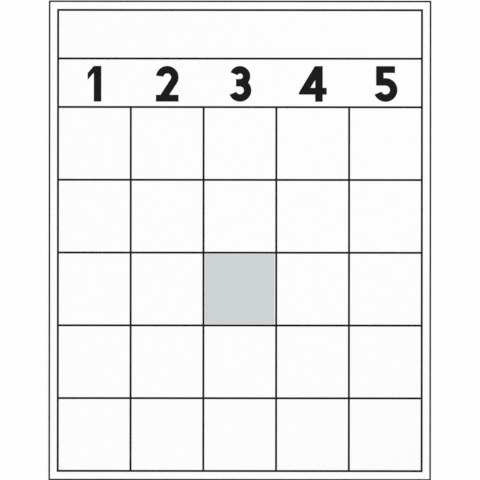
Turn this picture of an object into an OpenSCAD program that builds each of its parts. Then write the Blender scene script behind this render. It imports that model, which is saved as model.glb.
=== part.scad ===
// Bingo card: a five by five playing grid printed on one sheet of coated card stock.
// Millimetres. X runs across the card, Y up the printed page, Z out of the printed face.
// The origin is the middle of the back face, on which the card lies.
// The stock is a fibre board with a white coat on each face, and the print is a set of
// thin dried ink films that stand on the front coat and butt each other without overlap.

/* [Layout] */
// Side of a playing square, between the middles of its rules
square_pitch = 38.1; // [24:0.1:60]
// Height of the blank title box, between the middles of its rules
title_box_h = 25.4; // [8:0.1:60]
// From the middle of the frame rule out to the cut edge, at the left and the right
side_margin = 4.95; // [2:0.05:20]
// From the middle of the frame rule out to the cut edge, at the top and the foot
end_margin = 5.05; // [2:0.05:20]

/* [Card stock] */
// Thickness of the fibre board between the coats
board_t = 0.32; // [0.2:0.01:2]
// Thickness of the white coat on each face
coat_t = 0.02; // [0.01:0.005:0.1]
// Radius of the cut corners
corner_r = 0.5; // [0:0.1:6]

/* [Rules] */
// Thickness of a dried ink film
ink_t = 0.02; // [0.01:0.005:0.1]
// Width of the frame rule and of the rules inside it
rule_w = 1.07; // [0.3:0.01:3]
// Width of the line that follows the cut edge
edge_line_w = 0.84; // [0.2:0.01:1.5]
// White left between that line and the cut edge
edge_line_inset = 0.08; // [0.02:0.01:0.4]

/* [Free square] */
// White left between the grey tint and the rules to its left, over it and under it
tint_gap = 0.2; // [0.02:0.01:2]
// White left between the tint and the rule to its right
tint_gap_right = 0.36; // [0.02:0.01:2]

/* [Column heads] */
// Height of a numeral
numeral_h = 18.7; // [14:0.05:40]
// Width of upright and round strokes
stroke_w = 3.95; // [1.5:0.05:4.4]
// Width of level strokes
bar_w = 3.6; // [1.2:0.05:4.2]
// White between the numerals and the rule over them
space_over = 3.33; // [1:0.01:15]
// White between the numerals and the rule under them
space_under = 2.3; // [1:0.01:15]
// Overall width of the numeral one
one_w = 7.2; // [5:0.1:12]
// Overall width of the numeral four
four_w = 14.6; // [12.5:0.1:20]
// How far the level stroke of the four runs past its stem
four_tail = 2.1; // [0.5:0.1:4]
// Length of the arm in the waist of the three
three_arm = 2.1; // [0.5:0.1:4]

/* [Hidden] */
$fn = 96;
columns = 5;
rows = 5;
middle_column = (columns - 1) / 2;
middle_row = (rows - 1) / 2;

// Layout that follows from the driving sizes
head_row_h = rule_w + space_over + numeral_h + space_under;
grid_w = columns * square_pitch;
grid_h = rows * square_pitch;
page_h = grid_h + head_row_h + title_box_h;
card_w = grid_w + 2 * side_margin;
card_h = page_h + 2 * end_margin;
left_x = -grid_w / 2;
bottom_y = -page_h / 2;
head_rule_y = bottom_y + grid_h;
title_rule_y = head_rule_y + head_row_h;
numeral_foot_y = head_rule_y + rule_w / 2 + space_under;
front_z = coat_t + board_t;
print_z = front_z + coat_t;

// Proportions of the numerals, as shares of the sizes named beside them
low_bowl_share = 0.525; // of the two bowls of the three together
five_bowl_share = 0.332; // of the numeral's height, for the bowl's radius
four_bar_share = 0.2; // of the height, for the underside of the level stroke
four_shoulder_share = 0.3; // of the level stroke, up the tip of the slope
four_top_share = 1.05; // of the stroke, for the flat top of the stem and slope
five_stem_share = 0.2; // of the bowl's radius, from its side in to the stem
flag_drop_share = 0.2; // of the height, for the fall of the flag of the one
bowl_end_angle = 158; // where the open ends of the three and the five stop
two_end_angle = 172; // where the open end of the two stops
wedge_step_angle = 30;

low_bowl_r = low_bowl_share * (numeral_h + stroke_w) / 2;
top_bowl_r = (numeral_h + stroke_w) / 2 - low_bowl_r;
five_bowl_r = five_bowl_share * numeral_h;

function column_x(i) = left_x + i * square_pitch;
function row_y(i) = head_rule_y - i * square_pitch;
function polar(r, a) = [r * cos(a), r * sin(a)];

// Box about the origin with round corners, or square ones where the radius runs out
module round_box(w, h, r) {
    if (r > 0) {
        square([w - 2 * r, h], center = true);
        square([w, h - 2 * r], center = true);
        for (x = [-1, 1], y = [-1, 1]) translate([x * (w / 2 - r), y * (h / 2 - r)]) circle(r);
    } else {
        square([w, h], center = true);
    }
}

// The card's outline, drawn in from the cut edge by inset
module card_outline(inset = 0) {
    round_box(card_w - 2 * inset, card_h - 2 * inset, corner_r - inset);
}

// One ply of the stock, with its underside at z
module ply(z, t) {
    translate([0, 0, z]) linear_extrude(t) card_outline();
}

// A dried ink film on the front coat
module ink_film() {
    translate([0, 0, print_z]) linear_extrude(ink_t) children();
}

module black_ink() {
    color([0.12, 0.115, 0.115]) ink_film() children();
}

module back_coat() {
    color([0.97, 0.97, 0.96]) ply(0, coat_t);
}

module board_core() {
    color([0.93, 0.92, 0.88]) ply(coat_t, board_t);
}

module front_coat() {
    color([0.98, 0.98, 0.98]) ply(front_z, coat_t);
}

// Thin line that follows the cut edge all the way round
module edge_line() {
    black_ink() difference() {
        card_outline(edge_line_inset);
        card_outline(edge_line_inset + edge_line_w);
    }
}

// Frame round the title box, the column heads and the grid
module frame_rule() {
    black_ink() difference() {
        square([grid_w + rule_w, page_h + rule_w], center = true);
        square([grid_w - rule_w, page_h - rule_w], center = true);
    }
}

// Level rule between two upright rules that stand at x0 and x1
module level_rule(x0, x1, y) {
    translate([x0 + rule_w / 2, y - rule_w / 2]) square([x1 - x0 - rule_w, rule_w]);
}

module title_rule() {
    black_ink() level_rule(column_x(0), column_x(columns), title_rule_y);
}

module head_rule() {
    black_ink() level_rule(column_x(0), column_x(columns), head_rule_y);
}

// Upright rule from the frame's foot to the underside of the head rule
module column_rule(i) {
    black_ink()
        translate([column_x(i) - rule_w / 2, bottom_y + rule_w / 2])
            square([rule_w, grid_h - rule_w]);
}

// Level rule of the grid, in one length per column so that it butts the upright rules
module row_rule(i) {
    black_ink()
        for (c = [0 : columns - 1]) level_rule(column_x(c), column_x(c + 1), row_y(i));
}

// Grey tint in the middle square
module free_square_tint() {
    clear = square_pitch - rule_w - tint_gap;
    corner = [
        column_x(middle_column) + rule_w / 2 + tint_gap,
        row_y(middle_row + 1) + rule_w / 2 + tint_gap,
    ];
    color([0.81, 0.83, 0.83])
        ink_film() translate(corner) square([clear - tint_gap_right, clear - tint_gap]);
}

// Part of a round stroke about the origin, from angle a0 round to a1
module round_stroke(r, a0, a1) {
    steps = ceil((a1 - a0) / wedge_step_angle);
    wedge = [for (s = [0 : steps]) polar(2 * r, a0 + (a1 - a0) * s / steps)];
    intersection() {
        difference() {
            circle(r);
            circle(r - stroke_w);
        }
        polygon(concat([[0, 0]], wedge));
    }
}

// Upright stem with a sloping flag at its head
module numeral_one() {
    stem_x = one_w - stroke_w;
    drop = flag_drop_share * numeral_h;
    polygon([
        [stem_x, 0],
        [one_w, 0],
        [one_w, numeral_h],
        [stem_x, numeral_h],
        [0, numeral_h - drop],
        [0, numeral_h - drop - bar_w],
        [stem_x, numeral_h - bar_w],
    ]);
}

// Round head whose stroke runs off at a tangent down to the left end of the foot
module numeral_two() {
    r = low_bowl_r;
    centre = [r, numeral_h - r];
    slope = atan2(centre.y, centre.x) - asin((r - stroke_w) / norm(centre));
    run = norm(centre) * cos(atan2(centre.y, centre.x) - slope);
    translate(centre) round_stroke(r, slope - 90, two_end_angle);
    intersection() {
        rotate(slope) translate([-r, -stroke_w]) square([run + r, stroke_w]);
        square([2 * r, numeral_h]);
    }
    intersection() {
        translate(centre) circle(r);
        rotate(slope) translate([run - stroke_w, -stroke_w]) square([2 * stroke_w, stroke_w]);
    }
    square([2 * r, bar_w]);
}

// Two round strokes that share the waist, from which a short arm points left
module numeral_three() {
    waist_y = 2 * low_bowl_r - stroke_w;
    hollow_r = top_bowl_r - stroke_w;
    translate([low_bowl_r, low_bowl_r]) round_stroke(low_bowl_r, -bowl_end_angle, 90);
    translate([low_bowl_r, numeral_h - top_bowl_r]) round_stroke(top_bowl_r, -90, bowl_end_angle);
    translate([low_bowl_r - three_arm, waist_y]) square([three_arm + hollow_r, stroke_w]);
}

// Stem, level stroke and slope round a three-sided counter
module numeral_four() {
    stem_x = four_w - four_tail - stroke_w;
    bar_y = four_bar_share * numeral_h;
    tip = [0, bar_y + four_shoulder_share * bar_w];
    top = [stem_x + stroke_w - four_top_share * stroke_w, numeral_h];
    slope = (top - tip) / norm(top - tip);
    inner = tip + stroke_w * [slope.y, -slope.x];
    counter_x = inner.x + (bar_y + bar_w - inner.y) * slope.x / slope.y;
    counter_top = inner.y + (stem_x - inner.x) * slope.y / slope.x;
    difference() {
        polygon([[0, bar_y], [stem_x + stroke_w, bar_y], [stem_x + stroke_w, numeral_h], top, tip]);
        polygon([[counter_x, bar_y + bar_w], [stem_x, bar_y + bar_w], [stem_x, counter_top]]);
    }
    translate([stem_x, 0]) square([stroke_w, numeral_h]);
    translate([counter_x, bar_y]) square([four_w - counter_x, bar_w]);
}

// Level head and short stem over an open bowl, whose top runs left into the stem
module numeral_five() {
    r = five_bowl_r;
    stem_x = five_stem_share * r;
    joint_y = 2 * r - stroke_w;
    translate([r, r]) round_stroke(r, -bowl_end_angle, 90);
    intersection() {
        translate([r, r]) circle(r);
        translate([stem_x, joint_y]) square([r - stem_x + stroke_w, stroke_w]);
    }
    translate([stem_x, joint_y]) square([stroke_w, numeral_h - joint_y]);
    translate([stem_x, numeral_h - bar_w]) square([2 * r - 2 * stem_x, bar_w]);
}

// Plain numeral over column i, in the middle of the column
module column_head(i) {
    width = [one_w, 2 * low_bowl_r, 2 * low_bowl_r, four_w, 2 * five_bowl_r][i - 1];
    black_ink() translate([(column_x(i - 1) + column_x(i) - width) / 2, numeral_foot_y]) {
        if (i == 1) numeral_one();
        if (i == 2) numeral_two();
        if (i == 3) numeral_three();
        if (i == 4) numeral_four();
        if (i == 5) numeral_five();
    }
}

back_coat();
board_core();
front_coat();
edge_line();
frame_rule();
title_rule();
head_rule();
for (i = [1 : columns - 1])
    column_rule(i);
for (i = [1 : rows - 1])
    row_rule(i);
for (i = [1 : columns])
    column_head(i);
free_square_tint();
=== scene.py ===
"""Bingo card: coated card stock with printed ink films, dressed, lit and framed.

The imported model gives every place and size. The pieces here stand where its nodes stand:
three plies of card stock, then the ink films that lie on the front coat.
"""

import math

import bmesh
import bpy
from bpy.props import FloatProperty, FloatVectorProperty, IntProperty, PointerProperty
from bpy.types import Operator, Panel, PropertyGroup
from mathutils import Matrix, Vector


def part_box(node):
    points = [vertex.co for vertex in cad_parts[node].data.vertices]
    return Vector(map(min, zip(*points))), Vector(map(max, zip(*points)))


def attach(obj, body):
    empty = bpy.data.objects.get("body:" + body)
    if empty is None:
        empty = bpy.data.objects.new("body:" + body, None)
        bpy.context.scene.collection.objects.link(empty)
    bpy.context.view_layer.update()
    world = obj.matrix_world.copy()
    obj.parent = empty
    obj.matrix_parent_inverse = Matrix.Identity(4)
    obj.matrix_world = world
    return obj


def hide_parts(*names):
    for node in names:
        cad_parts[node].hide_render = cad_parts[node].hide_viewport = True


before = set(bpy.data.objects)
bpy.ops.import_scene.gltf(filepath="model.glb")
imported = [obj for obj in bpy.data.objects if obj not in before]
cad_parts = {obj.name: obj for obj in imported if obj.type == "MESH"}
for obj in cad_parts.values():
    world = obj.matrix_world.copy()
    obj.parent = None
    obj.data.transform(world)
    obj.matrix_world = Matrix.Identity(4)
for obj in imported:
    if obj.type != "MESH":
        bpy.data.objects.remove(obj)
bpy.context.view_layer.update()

bl_info = {
    "name": "Bingo Card",
    "version": (1, 0, 0),
    "blender": (4, 5, 0),
    "location": "3D View > Sidebar > Bingo Card",
    "description": "Printed card stock with soft-edged ink films, and the stage it lies on",
    "category": "Object",
}

BODY = "root"

# Side of the square picture in pixels, and width of the camera's sensor in millimetres
PICTURE_SIDE = 480
SENSOR_WIDTH = 36.0

# Pieces are shaped in millimetres, where Blender's own tolerances suit a thin film, and
# are brought to metres when they are done.
MM = 1000.0

# Millimetres within which two places are one, the corners of a copied node are merged,
# and a finished piece keeps to the box of its node
SAME_PLACE = 0.0001
MERGE_DISTANCE = 0.001
BOX_TOLERANCE = 0.02

# Upright share of a level face's normal, the angle up to which faces are one flat, and the
# angle up to which they are shaded as one surface
LEVEL_NORMAL = 0.9
FLAT_ANGLE = math.radians(0.5)
SMOOTH_ANGLE = math.radians(35)

# Selection modes of edit mode
BY_POINT = (True, False, False)
BY_EDGE = (False, True, False)
BY_FACE = (False, False, True)

# Span that nearly all values of a noise fall in
NOISE_SPAN = (0.3, 0.7)

# Turns in radians of the three sets of fibres that lie across each other in the sheet, and
# the span of their noise over which a fibre rises
FIBRE_TURNS = (0.25, -0.45, 1.3)
FIBRE_SPAN = (0.56, 0.72)

# How long the waves of the sheet are up the page, as a share of their length across it, and
# how many times as long as high the layers and the strands of the cut wall are
COCKLE_SQUEEZE = 0.6
LAYER_STRETCH = 9.0
STRAND_STRETCH = 11.0

# Soft lamps: degrees round from the foot of the page, degrees up and degrees wide
KEY_LAMP = (145.0, 45.0, 60.0)
FILL_LAMP = (-50.0, 50.0, 70.0)


# Sizes and colours that a user would change


class StockSettings(PropertyGroup):
    """Card stock: its cut corners, its rolled arrises and its cut wall."""

    corner_radius: FloatProperty(
        name="Corner radius",
        description="Radius of the cut corners",
        default=0.0005,
        min=0.0,
        precision=5,
        subtype="DISTANCE",
        unit="LENGTH",
    )
    corner_segments: IntProperty(
        name="Corner segments",
        description="Facets round each cut corner",
        default=8,
        min=1,
        max=32,
    )
    arris_roll: FloatProperty(
        name="Arris roll",
        description="How far the blade rolls the outer edge of each coat over",
        default=0.000014,
        min=0.0,
        precision=6,
        subtype="DISTANCE",
        unit="LENGTH",
    )
    arris_segments: IntProperty(
        name="Arris segments",
        description="Facets across the rolled edge of a coat",
        default=3,
        min=1,
        max=12,
    )
    wall_step: FloatProperty(
        name="Wall step",
        description="Widest distance between the columns of points along the cut wall",
        default=0.0005,
        min=0.0001,
        precision=5,
        subtype="DISTANCE",
        unit="LENGTH",
    )
    wall_layers: IntProperty(
        name="Wall layers",
        description="Layers of fibres that the cut wall is divided into",
        default=5,
        min=2,
        max=12,
    )
    wall_wander: FloatProperty(
        name="Wall wander",
        description="How far the fibres of the cut wall stand in or out",
        default=0.000012,
        min=0.0,
        precision=6,
        subtype="DISTANCE",
        unit="LENGTH",
    )
    wall_seed: IntProperty(
        name="Wall seed",
        description="Picks one of the random walls",
        default=7,
        min=0,
    )


class InkSettings(PropertyGroup):
    """Printed films: the soft edge that the ink dries to."""

    edge_roll: FloatProperty(
        name="Film edge",
        description="Width of the rounded edge of a dried film",
        default=0.00001,
        min=0.0,
        precision=6,
        subtype="DISTANCE",
        unit="LENGTH",
    )
    edge_segments: IntProperty(
        name="Film edge segments",
        description="Facets across the rounded edge of a film",
        default=3,
        min=1,
        max=12,
    )


class ColourSettings(PropertyGroup):
    """Colours of the stock and of the inks, as linear light, and how satin they are."""

    coat_white: FloatVectorProperty(
        name="Coat",
        description="White of the clay coat on both faces",
        default=(0.991, 0.990, 0.991),
        min=0.0,
        max=1.0,
        subtype="COLOR",
    )
    coat_roughness: FloatProperty(
        name="Coat roughness",
        description="How satin the clay coat is",
        default=0.47,
        min=0.0,
        max=1.0,
        subtype="FACTOR",
    )
    coat_sheen: FloatProperty(
        name="Coat sheen",
        description="How much the clay coat mirrors, where a half is plain varnish",
        default=0.5,
        min=0.0,
        max=1.0,
        subtype="FACTOR",
    )
    board_cream: FloatVectorProperty(
        name="Board",
        description="Cream of the fibre board in the cut wall",
        default=(0.840, 0.808, 0.738),
        min=0.0,
        max=1.0,
        subtype="COLOR",
    )
    board_roughness: FloatProperty(
        name="Board roughness",
        description="How dull the cut board is",
        default=0.90,
        min=0.0,
        max=1.0,
        subtype="FACTOR",
    )
    board_sheen: FloatProperty(
        name="Board sheen",
        description="How much the cut board mirrors, where a half is plain varnish",
        default=0.3,
        min=0.0,
        max=1.0,
        subtype="FACTOR",
    )
    ink_black: FloatVectorProperty(
        name="Black ink",
        description="Black of the rules and numerals",
        default=(0.0073, 0.0073, 0.0073),
        min=0.0,
        max=1.0,
        subtype="COLOR",
    )
    ink_roughness: FloatProperty(
        name="Ink roughness",
        description="How satin the black ink dries",
        default=0.53,
        min=0.0,
        max=1.0,
        subtype="FACTOR",
    )
    ink_sheen: FloatProperty(
        name="Ink sheen",
        description="How much the black ink mirrors, where a half is plain varnish",
        default=0.06,
        min=0.0,
        max=1.0,
        subtype="FACTOR",
    )
    tint_grey: FloatVectorProperty(
        name="Grey tint",
        description="Cool grey of the middle square",
        default=(0.6140, 0.6485, 0.6567),
        min=0.0,
        max=1.0,
        subtype="COLOR",
    )
    tint_roughness: FloatProperty(
        name="Tint roughness",
        description="How satin the grey tint dries",
        default=0.50,
        min=0.0,
        max=1.0,
        subtype="FACTOR",
    )
    tint_sheen: FloatProperty(
        name="Tint sheen",
        description="How much the grey tint mirrors, where a half is plain varnish",
        default=0.4,
        min=0.0,
        max=1.0,
        subtype="FACTOR",
    )


class MarkSettings(PropertyGroup):
    """Marks in the finishes: size and relief of waves, grain, fibres, specks and layers."""

    cockle_size: FloatProperty(
        name="Cockle",
        description="Length of the faint waves of the whole sheet",
        default=0.045,
        min=0.001,
        precision=4,
        subtype="DISTANCE",
        unit="LENGTH",
    )
    cockle_relief: FloatProperty(
        name="Cockle relief",
        description="Height of those waves",
        default=0.00006,
        min=0.0,
        precision=6,
        subtype="DISTANCE",
        unit="LENGTH",
    )
    cloud_size: FloatProperty(
        name="Cloud",
        description="Size of the clouds that the fibres form in the sheet",
        default=0.006,
        min=0.0001,
        precision=4,
        subtype="DISTANCE",
        unit="LENGTH",
    )
    grain_size: FloatProperty(
        name="Grain",
        description="Size of the grain of the clay coat",
        default=0.00032,
        min=0.00001,
        precision=5,
        subtype="DISTANCE",
        unit="LENGTH",
    )
    grain_relief: FloatProperty(
        name="Grain relief",
        description="Height of that grain",
        default=0.000003,
        min=0.0,
        precision=6,
        subtype="DISTANCE",
        unit="LENGTH",
    )
    fibre_width: FloatProperty(
        name="Fibre width",
        description="Width of the fibres that show faintly through the coat",
        default=0.00011,
        min=0.00001,
        precision=5,
        subtype="DISTANCE",
        unit="LENGTH",
    )
    fibre_length: FloatProperty(
        name="Fibre length",
        description="Length of those fibres",
        default=0.00121,
        min=0.00001,
        precision=5,
        subtype="DISTANCE",
        unit="LENGTH",
    )
    fibre_relief: FloatProperty(
        name="Fibre relief",
        description="How far those fibres lift the coat and the ink",
        default=0.0000045,
        min=0.0,
        precision=6,
        subtype="DISTANCE",
        unit="LENGTH",
    )
    streak_width: FloatProperty(
        name="Streak width",
        description="Width of the streaks that the rollers leave in the gloss",
        default=0.0016,
        min=0.0001,
        precision=4,
        subtype="DISTANCE",
        unit="LENGTH",
    )
    streak_length: FloatProperty(
        name="Streak length",
        description="Length of those streaks",
        default=0.0144,
        min=0.0001,
        precision=4,
        subtype="DISTANCE",
        unit="LENGTH",
    )
    speck_size: FloatProperty(
        name="Speck",
        description="Size of the specks in the clay coat",
        default=0.00028,
        min=0.00001,
        precision=5,
        subtype="DISTANCE",
        unit="LENGTH",
    )
    pinhole_size: FloatProperty(
        name="Pinhole",
        description="Size of the pinholes in the inks, which show the coat",
        default=0.0002,
        min=0.00001,
        precision=5,
        subtype="DISTANCE",
        unit="LENGTH",
    )
    lay_size: FloatProperty(
        name="Ink lay",
        description="Size of the patches in which the black ink lies thicker or thinner",
        default=0.0011,
        min=0.0001,
        precision=4,
        subtype="DISTANCE",
        unit="LENGTH",
    )
    lay_relief: FloatProperty(
        name="Ink lay relief",
        description="How much thicker the ink lies in those patches",
        default=0.0000015,
        min=0.0,
        precision=6,
        subtype="DISTANCE",
        unit="LENGTH",
    )
    layer_size: FloatProperty(
        name="Board layer",
        description="Height of a fibre layer in the cut wall",
        default=0.00007,
        min=0.00001,
        precision=5,
        subtype="DISTANCE",
        unit="LENGTH",
    )
    layer_relief: FloatProperty(
        name="Board layer relief",
        description="How far such a layer stands out of the wall",
        default=0.00001,
        min=0.0,
        precision=6,
        subtype="DISTANCE",
        unit="LENGTH",
    )
    strand_size: FloatProperty(
        name="Board strand",
        description="Width of the single fibres in the cut wall",
        default=0.000022,
        min=0.000001,
        precision=6,
        subtype="DISTANCE",
        unit="LENGTH",
    )
    strand_relief: FloatProperty(
        name="Board strand relief",
        description="How far those fibres stand out of the wall",
        default=0.000008,
        min=0.0,
        precision=6,
        subtype="DISTANCE",
        unit="LENGTH",
    )
    tear_size: FloatProperty(
        name="Torn ends",
        description="Size of the spots where fibres are torn out of the cut wall",
        default=0.0005,
        min=0.00001,
        precision=5,
        subtype="DISTANCE",
        unit="LENGTH",
    )
    tear_relief: FloatProperty(
        name="Torn ends relief",
        description="Depth of those spots",
        default=0.000012,
        min=0.0,
        precision=6,
        subtype="DISTANCE",
        unit="LENGTH",
    )


class StageSettings(PropertyGroup):
    """Floor, light and camera."""

    floor_side: FloatProperty(
        name="Floor",
        description="Side of the square floor",
        default=24.0,
        min=1.0,
        subtype="DISTANCE",
        unit="LENGTH",
    )
    floor_white: FloatProperty(
        name="Floor white",
        description="Share of light that the floor sends back",
        default=0.988,
        min=0.0,
        max=1.0,
        subtype="FACTOR",
    )
    wall_white: FloatProperty(
        name="Wall white",
        description="White of the room round the card, as the camera and any gloss see it",
        default=0.989,
        min=0.0,
        max=1.0,
        subtype="FACTOR",
    )
    sky_level: FloatProperty(
        name="Room light",
        description="Light that comes evenly from all round, as a share of a plain level",
        default=0.82,
        min=0.0,
        max=1.0,
        subtype="FACTOR",
    )
    key_level: FloatProperty(
        name="Key light",
        description="Light of the large soft lamp on a level sheet, as a share",
        default=0.10,
        min=0.0,
        max=1.0,
        subtype="FACTOR",
    )
    fill_level: FloatProperty(
        name="Fill light",
        description="Light of the second soft lamp on a level sheet, as a share",
        default=0.08,
        min=0.0,
        max=1.0,
        subtype="FACTOR",
    )
    focal_length: FloatProperty(
        name="Lens",
        description="Focal length of the camera in millimetres",
        default=85.0,
        min=20.0,
        max=300.0,
        unit="CAMERA",
    )
    frame_height: FloatProperty(
        name="Frame height",
        description="Height of the printed page that fills the picture from top to foot",
        default=0.25128,
        min=0.05,
        precision=5,
        subtype="DISTANCE",
        unit="LENGTH",
    )
    card_centre: FloatVectorProperty(
        name="Card centre",
        description="Where the middle of the card stands in the picture, in pixels from its corner",
        default=(239.87, 240.55),
        size=2,
    )
    card_turn: FloatProperty(
        name="Card turn",
        description="How far the card is turned clockwise in the picture",
        default=math.radians(0.055),
        subtype="ANGLE",
        unit="ROTATION",
    )


# Places and names of nodes, editing steps, and tests by which faces and edges are picked


def start_clean():
    """Deselect everything in object mode, so that an operator acts on its own piece alone."""
    if bpy.context.mode != "OBJECT":
        bpy.ops.object.mode_set(mode="OBJECT")
    bpy.ops.object.select_all(action="DESELECT")


def make_active(piece):
    """Select one piece and make it the active one."""
    start_clean()
    piece.select_set(True)
    bpy.context.view_layer.objects.active = piece


def corners_mm(node):
    """Lowest and highest corners of a CAD node, in millimetres."""
    low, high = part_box(node)
    return Vector(low) * MM, Vector(high) * MM


def numbered(stem):
    """Names of the CAD nodes that are a stem and a number, in order."""
    return sorted(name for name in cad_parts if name.startswith(f"{stem}_"))


def add_block(name, low, high):
    """Add a cube that spans low to high, with its place and size in its mesh."""
    start_clean()
    bpy.ops.mesh.primitive_cube_add(size=1, location=(low + high) / 2, scale=high - low)
    piece = bpy.context.object
    piece.name = name
    piece.data.name = name
    bpy.ops.object.transform_apply(location=True, rotation=True, scale=True)
    return piece


def open_edit(piece, select_mode):
    """Enter edit mode on the piece with nothing selected, and return its bmesh."""
    make_active(piece)
    bpy.context.tool_settings.mesh_select_mode = select_mode
    bpy.ops.object.mode_set(mode="EDIT")
    bpy.ops.mesh.select_all(action="DESELECT")
    return bmesh.from_edit_mesh(piece.data)


def pick(piece, parts, wanted):
    """Select the parts for which wanted is true, and return how many there are."""
    picked = [part for part in parts if wanted(part)]
    for part in picked:
        part.select_set(True)
    bmesh.update_edit_mesh(piece.data)
    return len(picked)


def close_edit():
    """Go back to object mode."""
    bpy.ops.object.mode_set(mode="OBJECT")


def is_level(face):
    """True for a face that looks up or down."""
    return abs(face.normal.z) > LEVEL_NORMAL


def is_upright(edge):
    """True for an edge that runs straight up."""
    a, b = (corner.co for corner in edge.verts)
    return abs(a.z - b.z) > SAME_PLACE and (a.xy - b.xy).length < SAME_PLACE


def lies_at(edge, height):
    """True for an edge whose two ends are at that height."""
    return all(abs(corner.co.z - height) < SAME_PLACE for corner in edge.verts)


def round_rim(piece, height, width, segments):
    """Round the rim of the piece's level face at that height."""

    def is_rim(edge):
        sides = {is_level(face) for face in edge.link_faces}
        return lies_at(edge, height) and sides == {True, False}

    cage = open_edit(piece, BY_EDGE)
    if not pick(piece, cage.edges, is_rim):
        raise RuntimeError(f"{piece.name} has no rim to round")
    bpy.ops.mesh.bevel(offset=width, segments=segments, profile=0.5, affect="EDGES")
    close_edit()


def round_corners(piece, radius, segments):
    """Round the four upright corner edges of a block."""
    cage = open_edit(piece, BY_EDGE)
    if pick(piece, cage.edges, is_upright) != 4:
        raise RuntimeError(f"{piece.name} isn't a block with four upright edges")
    bpy.ops.mesh.bevel(offset=radius, segments=segments, profile=0.5, affect="EDGES")
    close_edit()


def face_outwards(piece):
    """Turn every face of a closed piece outwards."""
    open_edit(piece, BY_FACE)
    bpy.ops.mesh.select_all(action="SELECT")
    bpy.ops.mesh.normals_make_consistent(inside=False)
    close_edit()


def check_piece(piece, node):
    """Raise an error unless the piece is closed and fills the box of its node."""
    shell = bmesh.new()
    shell.from_mesh(piece.data)
    closed = all(len(edge.link_faces) == 2 for edge in shell.edges)
    shell.free()
    if not closed:
        raise RuntimeError(f"{piece.name} has an open edge")
    for axis, (low, high) in enumerate(zip(*corners_mm(node))):
        places = [corner.co[axis] * MM for corner in piece.data.vertices]
        if max(abs(min(places) - low), abs(max(places) - high)) > BOX_TOLERANCE:
            raise RuntimeError(f"{piece.name} doesn't fill the box of {node}")


def hand_over(piece, node, slot):
    """Bring a finished piece to metres, give it its finish, and let it stand for its node."""
    make_active(piece)
    piece.scale = (1 / MM,) * 3
    bpy.ops.object.transform_apply(location=True, rotation=True, scale=True)
    bpy.ops.object.shade_smooth_by_angle(angle=SMOOTH_ANGLE)
    piece.data.materials.clear()
    piece.data.materials.append(finish_of(slot))
    check_piece(piece, node)
    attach(piece, BODY)
    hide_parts(node)


# Finishes: one procedural material for each slot


def add_node(tree, kind, label, **settings):
    """Add a shader node with a plain label and its settings."""
    made = tree.nodes.new(kind)
    made.label = label
    for name, value in settings.items():
        setattr(made, name, value)
    return made


def add_noise(tree, place, label, size, detail, stretch=(1.0, 1.0, 1.0), turn=0.0):
    """Noise with marks about size metres across, drawn out by stretch and then turned."""
    mapping = add_node(tree, "ShaderNodeMapping", f"{label}: lie", vector_type="TEXTURE")
    mapping.inputs["Scale"].default_value = stretch
    mapping.inputs["Rotation"].default_value = (0.0, 0.0, turn)
    noise = add_node(tree, "ShaderNodeTexNoise", label)
    noise.inputs["Scale"].default_value = 1 / size
    noise.inputs["Detail"].default_value = detail
    tree.links.new(place, mapping.inputs["Vector"])
    tree.links.new(mapping.outputs["Vector"], noise.inputs["Vector"])
    return noise.outputs["Fac"]


def map_range(tree, source, label, span, reach):
    """Carry a value from one span over to another, and stop at its ends."""
    ranged = add_node(tree, "ShaderNodeMapRange", label)
    ranged.inputs["From Min"].default_value = span[0]
    ranged.inputs["From Max"].default_value = span[1]
    ranged.inputs["To Min"].default_value = reach[0]
    ranged.inputs["To Max"].default_value = reach[1]
    tree.links.new(source, ranged.inputs["Value"])
    return ranged.outputs["Result"]


def vary_value(tree, source, label, middle, change):
    """Let a noise value run from that change below the middle to as far above it."""
    return map_range(tree, source, label, NOISE_SPAN, (middle - change, middle + change))


def vary_colour(tree, source, label, colour, change):
    """Run with a noise value from a darker to a lighter version of the colour."""
    mixed = add_node(tree, "ShaderNodeMix", label, data_type="RGBA")
    mixed.inputs["A"].default_value = [part * (1 - change) for part in colour] + [1.0]
    mixed.inputs["B"].default_value = [min(1.0, part * (1 + change)) for part in colour] + [1.0]
    factor = map_range(tree, source, f"{label}: share", NOISE_SPAN, (0.0, 1.0))
    tree.links.new(factor, mixed.inputs["Factor"])
    return mixed.outputs["Result"]


def shade_colour(tree, colour, source, label, span, share):
    """Bring the colour to that share of itself as the source passes through the span."""
    mixed = add_node(tree, "ShaderNodeMix", label, data_type="RGBA", blend_type="MULTIPLY")
    mixed.inputs["B"].default_value = (share, share, share, 1.0)
    tree.links.new(colour, mixed.inputs["A"])
    factor = map_range(tree, source, f"{label}: share", span, (0.0, 1.0))
    tree.links.new(factor, mixed.inputs["Factor"])
    return mixed.outputs["Result"]


def blend_values(tree, first, second, label):
    """Mix two values half and half."""
    mixed = add_node(tree, "ShaderNodeMix", label, data_type="FLOAT")
    mixed.inputs["Factor"].default_value = 0.5
    tree.links.new(first, mixed.inputs["A"])
    tree.links.new(second, mixed.inputs["B"])
    return mixed.outputs["Result"]


def take_larger(tree, first, second, label):
    """Take the larger of two values."""
    larger = add_node(tree, "ShaderNodeMath", label, operation="MAXIMUM")
    tree.links.new(first, larger.inputs[0])
    tree.links.new(second, larger.inputs[1])
    return larger.outputs["Value"]


def add_fibres(tree, place, marks):
    """Short fibres that lie across each other, and cover each other where they cross."""
    along = (1.0, marks.fibre_length / marks.fibre_width, 1.0)
    strands = []
    for number, turn in enumerate(FIBRE_TURNS, start=1):
        label = f"fibres {number}"
        streak = add_noise(tree, place, label, marks.fibre_width, 1.0, stretch=along, turn=turn)
        strands.append(map_range(tree, streak, label, FIBRE_SPAN, reach=(0.0, 1.0)))
    highest = strands[0]
    for strand in strands[1:]:
        highest = take_larger(tree, highest, strand, "upper strand")
    return highest


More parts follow.
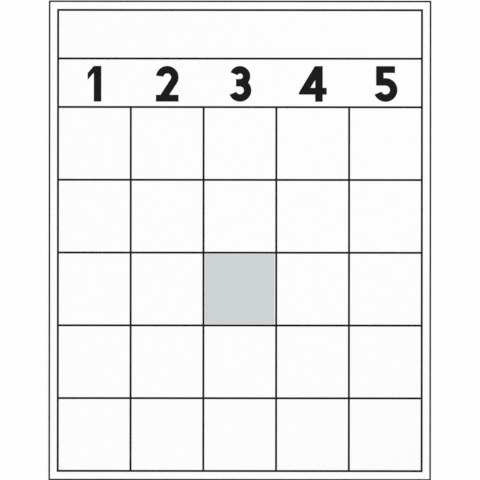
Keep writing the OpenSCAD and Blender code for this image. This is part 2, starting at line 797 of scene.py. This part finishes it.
def add_heights(tree, parts):
    """Add values up to one height in metres: each part is a value and its height."""
    total = None
    for source, height in parts:
        step = add_node(tree, "ShaderNodeMath", "height", operation="MULTIPLY_ADD")
        tree.links.new(source, step.inputs[0])
        step.inputs[1].default_value = height
        step.inputs[2].default_value = 0.0
        if total is not None:
            tree.links.new(total, step.inputs[2])
        total = step.outputs["Value"]
    return total


def set_relief(tree, shader, parts):
    """Tilt the shading by the real heights of the surface."""
    bump = add_node(tree, "ShaderNodeBump", "surface relief")
    bump.inputs["Strength"].default_value = 1.0
    bump.inputs["Distance"].default_value = 1.0
    tree.links.new(add_heights(tree, parts), bump.inputs["Height"])
    tree.links.new(bump.outputs["Normal"], shader.inputs["Normal"])


def add_sheet_marks(tree, place, marks):
    """Grain and fibres of the sheet, which its colour and its relief share."""
    grain = add_noise(tree, place, "grain", marks.grain_size, detail=3.0)
    return grain, add_fibres(tree, place, marks)


def sheet_relief(tree, place, marks, grain, fibres):
    """Relief that the coat has and the ink takes over from it: cockle, grain and fibres."""
    across = (1.0, COCKLE_SQUEEZE, 1.0)
    cockle = add_noise(tree, place, "cockle", marks.cockle_size, detail=1.0, stretch=across)
    return [
        (cockle, marks.cockle_relief),
        (grain, marks.grain_relief),
        (fibres, marks.fibre_relief),
    ]


def new_finish(name):
    """Return an empty material, its tree, its shader and the piece's own coordinates."""
    material = bpy.data.materials.new(name)
    material.use_nodes = True
    tree = material.node_tree
    tree.nodes.clear()
    output = add_node(tree, "ShaderNodeOutputMaterial", "surface")
    shader = add_node(tree, "ShaderNodeBsdfPrincipled", name)
    tree.links.new(shader.outputs["BSDF"], output.inputs["Surface"])
    place = add_node(tree, "ShaderNodeTexCoord", "place on the card").outputs["Object"]
    return material, tree, shader, place


def coat_finish(name, colours, marks):
    """Clay coat: calendered and satin, with the cloud and fibres of the sheet faintly in it."""
    material, tree, shader, place = new_finish(name)
    cloud = add_noise(tree, place, "cloud", marks.cloud_size, detail=3.0)
    grain, fibres = add_sheet_marks(tree, place, marks)
    specks = add_noise(tree, place, "specks", marks.speck_size, detail=1.0)
    white = vary_colour(tree, cloud, "cloud", colours.coat_white, change=0.006)
    white = shade_colour(tree, white, grain, "grain", span=(0.35, 0.75), share=0.972)
    white = shade_colour(tree, white, fibres, "fibres", span=(0.0, 1.0), share=0.972)
    white = shade_colour(tree, white, specks, "specks", span=(0.76, 0.86), share=0.90)
    tree.links.new(white, shader.inputs["Base Color"])
    along = (1.0, marks.streak_length / marks.streak_width, 1.0)
    streaks = add_noise(tree, place, "streaks", marks.streak_width, detail=3.0, stretch=along)
    gloss = blend_values(tree, cloud, streaks, "cloud and streaks")
    satin = vary_value(tree, gloss, "satin", colours.coat_roughness, change=0.07)
    tree.links.new(satin, shader.inputs["Roughness"])
    shader.inputs["Specular IOR Level"].default_value = colours.coat_sheen
    set_relief(tree, shader, sheet_relief(tree, place, marks, grain, fibres))
    return material


def board_finish(name, colours, marks):
    """Cut fibre board: cream and dull, with the fibres lying along the sheet."""
    material, tree, shader, place = new_finish(name)
    flat = (LAYER_STRETCH, LAYER_STRETCH, 1.0)
    long = (STRAND_STRETCH, STRAND_STRETCH, 1.0)
    layers = add_noise(tree, place, "layers", marks.layer_size, detail=4.0, stretch=flat)
    strands = add_noise(tree, place, "strands", marks.strand_size, detail=2.0, stretch=long)
    ends = add_noise(tree, place, "torn fibre ends", marks.tear_size, detail=3.0)
    cream = vary_colour(tree, layers, "layers", colours.board_cream, change=0.13)
    cream = shade_colour(tree, cream, strands, "strands", span=(0.45, 0.75), share=0.80)
    cream = shade_colour(tree, cream, ends, "torn ends", span=(0.5, 0.8), share=0.80)
    tree.links.new(cream, shader.inputs["Base Color"])
    dull = vary_value(tree, ends, "dull", colours.board_roughness, change=0.07)
    tree.links.new(dull, shader.inputs["Roughness"])
    shader.inputs["Specular IOR Level"].default_value = colours.board_sheen
    relief = [
        (layers, marks.layer_relief),
        (strands, marks.strand_relief),
        (ends, marks.tear_relief),
    ]
    set_relief(tree, shader, relief)
    return material


def black_finish(name, colours, marks):
    """Dried black ink: satin, uneven in density, with pinholes that show the coat."""
    material, tree, shader, place = new_finish(name)
    lay = add_noise(tree, place, "lay of the ink", marks.lay_size, detail=4.0)
    pinholes = add_noise(tree, place, "pinholes", marks.pinhole_size, detail=1.0)
    black = vary_colour(tree, lay, "density", colours.ink_black, change=0.30)
    black = shade_colour(tree, black, pinholes, "pinholes", span=(0.74, 0.86), share=6.0)
    tree.links.new(black, shader.inputs["Base Color"])
    satin = vary_value(tree, lay, "satin", colours.ink_roughness, change=0.08)
    tree.links.new(satin, shader.inputs["Roughness"])
    shader.inputs["Specular IOR Level"].default_value = colours.ink_sheen
    grain, fibres = add_sheet_marks(tree, place, marks)
    relief = sheet_relief(tree, place, marks, grain, fibres) + [(lay, marks.lay_relief)]
    set_relief(tree, shader, relief)
    return material


def tint_finish(name, colours, marks):
    """Flat grey tint: thin ink that lets the cloud, grain and fibres of the coat through."""
    material, tree, shader, place = new_finish(name)
    cloud = add_noise(tree, place, "cloud", marks.cloud_size, detail=3.0)
    grain, fibres = add_sheet_marks(tree, place, marks)
    pinholes = add_noise(tree, place, "pinholes", marks.pinhole_size, detail=1.0)
    grey = vary_colour(tree, cloud, "cloud", colours.tint_grey, change=0.007)
    grey = shade_colour(tree, grey, grain, "grain", span=(0.35, 0.75), share=0.965)
    grey = shade_colour(tree, grey, fibres, "fibres", span=(0.0, 1.0), share=0.980)
    grey = shade_colour(tree, grey, pinholes, "pinholes", span=(0.72, 0.82), share=1.22)
    tree.links.new(grey, shader.inputs["Base Color"])
    satin = vary_value(tree, grain, "satin", colours.tint_roughness, change=0.06)
    tree.links.new(satin, shader.inputs["Roughness"])
    shader.inputs["Specular IOR Level"].default_value = colours.tint_sheen
    set_relief(tree, shader, sheet_relief(tree, place, marks, grain, fibres))
    return material


FINISHES = {
    "white_coat": ("clay coat", coat_finish),
    "fibre_board": ("cut fibre board", board_finish),
    "black_ink": ("dried black ink", black_finish),
    "grey_ink": ("grey tint", tint_finish),
}


def finish_of(slot):
    """Return the material of a slot, made the first time that it is asked for."""
    name, make = FINISHES[slot]
    scene = bpy.context.scene
    return bpy.data.materials.get(name) or make(name, scene.card_colours, scene.card_marks)


# Card stock


def add_sheet(name, node):
    """Add a block with cut round corners that fills the node's box."""
    stock = bpy.context.scene.card_stock
    piece = add_block(name, *corners_mm(node))
    round_corners(piece, stock.corner_radius * MM, stock.corner_segments)
    return piece


class CARD_OT_coats(Operator):
    """Shape the white coats, whose outer arris the blade has rolled over"""

    bl_idname = "bingo_card.coats"
    bl_label = "White Coats"

    def execute(self, context):
        stock = context.scene.card_stock
        back, front = corners_mm("back_coat")[0], corners_mm("front_coat")[1]
        for node, outside in (("back_coat", back.z), ("front_coat", front.z)):
            piece = add_sheet(f"{node}_sheet", node)
            round_rim(piece, outside, stock.arris_roll * MM, stock.arris_segments)
            hand_over(piece, node, "white_coat")
        return {"FINISHED"}


class CARD_OT_board(Operator):
    """Shape the fibre board, with the uneven wall that the blade leaves"""

    bl_idname = "bingo_card.board"
    bl_label = "Fibre Board"

    def execute(self, context):
        stock = context.scene.card_stock
        heights = [corner.z for corner in corners_mm("board_core")]
        piece = add_sheet("board_core_sheet", "board_core")
        self.open_faces(piece)
        self.divide_wall(piece, stock.wall_step * MM)
        self.layer_wall(piece, stock.wall_layers)
        self.roughen_wall(piece, heights, stock.wall_wander * MM, stock.wall_seed)
        self.close_faces(piece, heights)
        face_outwards(piece)
        hand_over(piece, "board_core", "fibre_board")
        return {"FINISHED"}

    def open_faces(self, piece):
        """Take the two level faces off, so that the wall alone is divided."""
        cage = open_edit(piece, BY_FACE)
        pick(piece, cage.faces, is_level)
        bpy.ops.mesh.delete(type="ONLY_FACE")
        close_edit()

    def divide_wall(self, piece, step):
        """Halve the faces of the wall until none is wider than the step."""

        def is_wide(edge):
            return edge.calc_length() > step and not is_upright(edge)

        cage = open_edit(piece, BY_EDGE)
        while pick(piece, cage.edges, is_wide):
            bpy.ops.mesh.subdivide(number_cuts=1)
            cage = open_edit(piece, BY_EDGE)
        close_edit()

    def layer_wall(self, piece, layers):
        """Cut the wall into level layers."""
        cage = open_edit(piece, BY_EDGE)
        pick(piece, cage.edges, is_upright)
        bpy.ops.mesh.subdivide(number_cuts=layers - 1)
        close_edit()

    def roughen_wall(self, piece, heights, wander, seed):
        """Push the points between the wall's rims in or out by a seeded random amount."""
        low, high = heights
        cage = open_edit(piece, BY_POINT)
        pick(piece, cage.verts, lambda point: low + SAME_PLACE < point.co.z < high - SAME_PLACE)
        bpy.ops.transform.vertex_random(offset=wander, uniform=0.0, normal=1.0, seed=seed)
        close_edit()

    def close_faces(self, piece, heights):
        """Close the wall again with a level fan of faces from the middle to each rim."""
        for height in heights:
            cage = open_edit(piece, BY_EDGE)
            pick(piece, cage.edges, lambda edge: lies_at(edge, height))
            bpy.ops.mesh.edge_face_add()
            bpy.ops.mesh.poke()
            close_edit()


# Ink films


def round_film(piece):
    """Give a film the soft edge of dried ink along the rim of its upper face."""
    ink = bpy.context.scene.card_ink
    top = max(corner.co.z for corner in piece.data.vertices)
    round_rim(piece, top, ink.edge_roll * MM, ink.edge_segments)


def trace_node(node):
    """Copy a node's outline: its loose triangles are merged and its flats made whole."""
    start_clean()
    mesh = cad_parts[node].data.copy()
    mesh.name = f"{node}_film"
    piece = bpy.data.objects.new(mesh.name, mesh)
    bpy.context.scene.collection.objects.link(piece)
    make_active(piece)
    piece.scale = (MM,) * 3
    bpy.ops.object.transform_apply(location=False, rotation=False, scale=True)
    open_edit(piece, BY_POINT)
    bpy.ops.mesh.select_all(action="SELECT")
    bpy.ops.mesh.remove_doubles(threshold=MERGE_DISTANCE)
    bpy.ops.mesh.dissolve_limited(angle_limit=FLAT_ANGLE)
    close_edit()
    return piece


def copy_film(film, name, shift):
    """Copy a film that isn't handed over yet, with its own mesh, moved by shift."""
    make_active(film)
    bpy.ops.object.duplicate(linked=False)
    made = bpy.context.object
    made.name = name
    made.data.name = name
    made.location = shift
    bpy.ops.object.transform_apply(location=True, rotation=False, scale=False)
    return made


def repeat_film(film, nodes):
    """Copy the first node's film to the nodes after it, and hand them all over."""
    start = corners_mm(nodes[0])[0]
    films = [film]
    for node in nodes[1:]:
        films.append(copy_film(film, f"{node}_film", corners_mm(node)[0] - start))
    for made, node in zip(films, nodes):
        hand_over(made, node, "black_ink")


class CARD_OT_edge_line(Operator):
    """Shape the thin line that follows the cut edge"""

    bl_idname = "bingo_card.edge_line"
    bl_label = "Edge Line"

    def execute(self, context):
        film = trace_node("edge_line")
        round_film(film)
        hand_over(film, "edge_line", "black_ink")
        return {"FINISHED"}


class CARD_OT_frame_rules(Operator):
    """Shape the frame and the two level rules that cross it"""

    bl_idname = "bingo_card.frame_rules"
    bl_label = "Frame and Head Rules"

    def execute(self, context):
        self.make_frame()
        film = add_block("title_rule_film", *corners_mm("title_rule"))
        round_film(film)
        repeat_film(film, ["title_rule", "head_rule"])
        return {"FINISHED"}

    def make_frame(self):
        """Shape the frame: a block whose level faces are inset and bridged to an opening."""
        low, high = corners_mm("frame_rule")
        # The title rule butts the frame, so it starts one rule's width in
        rule_w = corners_mm("title_rule")[0].x - low.x
        film = add_block("frame_rule_film", low, high)
        cage = open_edit(film, BY_FACE)
        pick(film, cage.faces, is_level)
        bpy.ops.mesh.inset(thickness=rule_w, use_individual=True)
        bpy.ops.mesh.bridge_edge_loops()
        close_edit()
        face_outwards(film)
        round_film(film)
        hand_over(film, "frame_rule", "black_ink")


class CARD_OT_column_rules(Operator):
    """Shape one upright rule of the grid, and copy it to the others"""

    bl_idname = "bingo_card.column_rules"
    bl_label = "Column Rules"

    def execute(self, context):
        nodes = numbered("column_rule")
        film = add_block(f"{nodes[0]}_film", *corners_mm(nodes[0]))
        round_film(film)
        repeat_film(film, nodes)
        return {"FINISHED"}


class CARD_OT_row_rules(Operator):
    """Shape one level rule of the grid in a length for each column, and copy it"""

    bl_idname = "bingo_card.row_rules"
    bl_label = "Row Rules"

    def execute(self, context):
        nodes = numbered("row_rule")
        columns = len(numbered("column_head"))
        low, high = corners_mm(nodes[0])
        rule_left, rule_right = (corner.x for corner in corners_mm("column_rule_1"))
        film = add_block(f"{nodes[0]}_film", low, Vector((rule_left, high.y, high.z)))
        round_film(film)
        lengths = film.modifiers.new("lengths", "ARRAY")
        lengths.count = columns
        lengths.use_relative_offset = False
        lengths.use_constant_offset = True
        lengths.constant_offset_displace = (rule_right - low.x, 0.0, 0.0)
        make_active(film)
        bpy.ops.object.modifier_apply(modifier=lengths.name)
        repeat_film(film, nodes)
        return {"FINISHED"}


class CARD_OT_column_heads(Operator):
    """Shape the plain numeral over each column"""

    bl_idname = "bingo_card.column_heads"
    bl_label = "Column Heads"

    def execute(self, context):
        for node in numbered("column_head"):
            film = trace_node(node)
            round_film(film)
            hand_over(film, node, "black_ink")
        return {"FINISHED"}


class CARD_OT_free_square_tint(Operator):
    """Shape the grey tint of the middle square"""

    bl_idname = "bingo_card.free_square_tint"
    bl_label = "Free Square Tint"

    def execute(self, context):
        film = add_block("free_square_tint_film", *corners_mm("free_square_tint"))
        round_film(film)
        hand_over(film, "free_square_tint", "grey_ink")
        return {"FINISHED"}


# Stage


def add_floor(stage):
    """Lay the wide white floor on which the card lies."""
    start_clean()
    bpy.ops.mesh.primitive_plane_add(size=stage.floor_side)
    floor = bpy.context.object
    floor.name = "floor"
    material = bpy.data.materials.new("white floor")
    material.use_nodes = True
    tree = material.node_tree
    tree.nodes.clear()
    output = add_node(tree, "ShaderNodeOutputMaterial", "surface")
    matt = add_node(tree, "ShaderNodeBsdfDiffuse", "matt white")
    matt.inputs["Color"].default_value = (*[stage.floor_white] * 3, 1.0)
    tree.links.new(matt.outputs["BSDF"], output.inputs["Surface"])
    floor.data.materials.append(material)


def add_room(stage):
    """Light the card evenly, and show the camera and any gloss a white room."""
    world = bpy.data.worlds.new("white room")
    bpy.context.scene.world = world
    world.use_nodes = True
    tree = world.node_tree
    tree.nodes.clear()
    output = add_node(tree, "ShaderNodeOutputWorld", "room")
    path = add_node(tree, "ShaderNodeLightPath", "kind of ray")
    light = add_node(tree, "ShaderNodeBackground", "even light")
    light.inputs["Color"].default_value = (1.0, 1.0, 1.0, 1.0)
    light.inputs["Strength"].default_value = stage.sky_level
    wall = add_node(tree, "ShaderNodeBackground", "white wall")
    wall.inputs["Color"].default_value = (1.0, 1.0, 1.0, 1.0)
    wall.inputs["Strength"].default_value = stage.wall_white
    seen = path.outputs["Is Camera Ray"]
    for kind in ("Is Glossy Ray", "Is Transmission Ray"):
        seen = take_larger(tree, seen, path.outputs[kind], "either kind of ray")
    shown = add_node(tree, "ShaderNodeMixShader", "light or wall")
    tree.links.new(seen, shown.inputs["Fac"])
    tree.links.new(light.outputs["Background"], shown.inputs[1])
    tree.links.new(wall.outputs["Background"], shown.inputs[2])
    tree.links.new(shown.outputs["Shader"], output.inputs["Surface"])


def add_lamp(name, level, azimuth, elevation, width):
    """Add a far, wide lamp that lights a level sheet by that share of a plain level."""
    turn, rise = math.radians(azimuth), math.radians(elevation)
    lamp = bpy.data.lights.new(name, "SUN")
    lamp.energy = level * math.pi / math.sin(rise)
    lamp.angle = math.radians(width)
    holder = bpy.data.objects.new(name, lamp)
    bpy.context.scene.collection.objects.link(holder)
    aside = Vector((math.sin(turn), -math.cos(turn), 0.0))
    towards = aside * math.cos(rise) + Vector((0.0, 0.0, math.sin(rise)))
    holder.rotation_euler = towards.to_track_quat("Z", "Y").to_euler()


def add_camera(stage):
    """Look straight down on the card, framed as in the photograph."""
    lens = bpy.data.cameras.new("camera")
    lens.lens = stage.focal_length
    lens.sensor_width = SENSOR_WIDTH
    camera = bpy.data.objects.new("camera", lens)
    scene = bpy.context.scene
    scene.collection.objects.link(camera)
    scene.camera = camera
    pixel = stage.frame_height / PICTURE_SIDE
    middle = PICTURE_SIDE / 2
    print_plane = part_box("frame_rule")[1].z
    camera.location = (
        (middle - stage.card_centre[0]) * pixel,
        (stage.card_centre[1] - middle) * pixel,
        print_plane + stage.frame_height * lens.lens / lens.sensor_width,
    )
    camera.rotation_euler = (0.0, 0.0, stage.card_turn)


class CARD_OT_stage(Operator):
    """Set up the floor, the light and the camera"""

    bl_idname = "bingo_card.stage"
    bl_label = "Floor, Light and Camera"

    def execute(self, context):
        stage = context.scene.card_stage
        context.scene.view_settings.view_transform = "Standard"
        add_floor(stage)
        add_room(stage)
        add_lamp("key lamp", stage.key_level, *KEY_LAMP)
        add_lamp("fill lamp", stage.fill_level, *FILL_LAMP)
        add_camera(stage)
        return {"FINISHED"}


# Add-on


class CARD_PT_panel(Panel):
    """List the card's settings and the steps that make it."""

    bl_idname = "CARD_PT_panel"
    bl_label = "Bingo Card"
    bl_space_type = "VIEW_3D"
    bl_region_type = "UI"
    bl_category = "Bingo Card"

    def draw(self, context):
        for name, (title, group) in SETTINGS.items():
            box = self.layout.box()
            box.label(text=title)
            for field in group.__annotations__:
                box.prop(getattr(context.scene, name), field)
        steps = self.layout.column(align=True)
        for step in STEPS:
            steps.operator(step.bl_idname)


SETTINGS = {
    "card_stock": ("Card Stock", StockSettings),
    "card_ink": ("Ink Films", InkSettings),
    "card_colours": ("Colours", ColourSettings),
    "card_marks": ("Marks in the Finishes", MarkSettings),
    "card_stage": ("Stage", StageSettings),
}
STEPS = (
    CARD_OT_coats,
    CARD_OT_board,
    CARD_OT_edge_line,
    CARD_OT_frame_rules,
    CARD_OT_column_rules,
    CARD_OT_row_rules,
    CARD_OT_column_heads,
    CARD_OT_free_square_tint,
    CARD_OT_stage,
)


def register():
    """Register the settings, the steps and the panel."""
    for name, (title, group) in SETTINGS.items():
        bpy.utils.register_class(group)
        setattr(bpy.types.Scene, name, PointerProperty(type=group, name=title))
    for step in STEPS:
        bpy.utils.register_class(step)
    bpy.utils.register_class(CARD_PT_panel)


def unregister():
    """Take the panel, the steps and the settings away again."""
    bpy.utils.unregister_class(CARD_PT_panel)
    for step in reversed(STEPS):
        bpy.utils.unregister_class(step)
    for name, (_, group) in reversed(SETTINGS.items()):
        delattr(bpy.types.Scene, name)
        bpy.utils.unregister_class(group)


def main():
    """Make the card and its stage."""
    register()
    bpy.ops.bingo_card.coats()
    bpy.ops.bingo_card.board()
    bpy.ops.bingo_card.edge_line()
    bpy.ops.bingo_card.frame_rules()
    bpy.ops.bingo_card.column_rules()
    bpy.ops.bingo_card.row_rules()
    bpy.ops.bingo_card.column_heads()
    bpy.ops.bingo_card.free_square_tint()
    bpy.ops.bingo_card.stage()


if __name__ == "__main__":
    main()
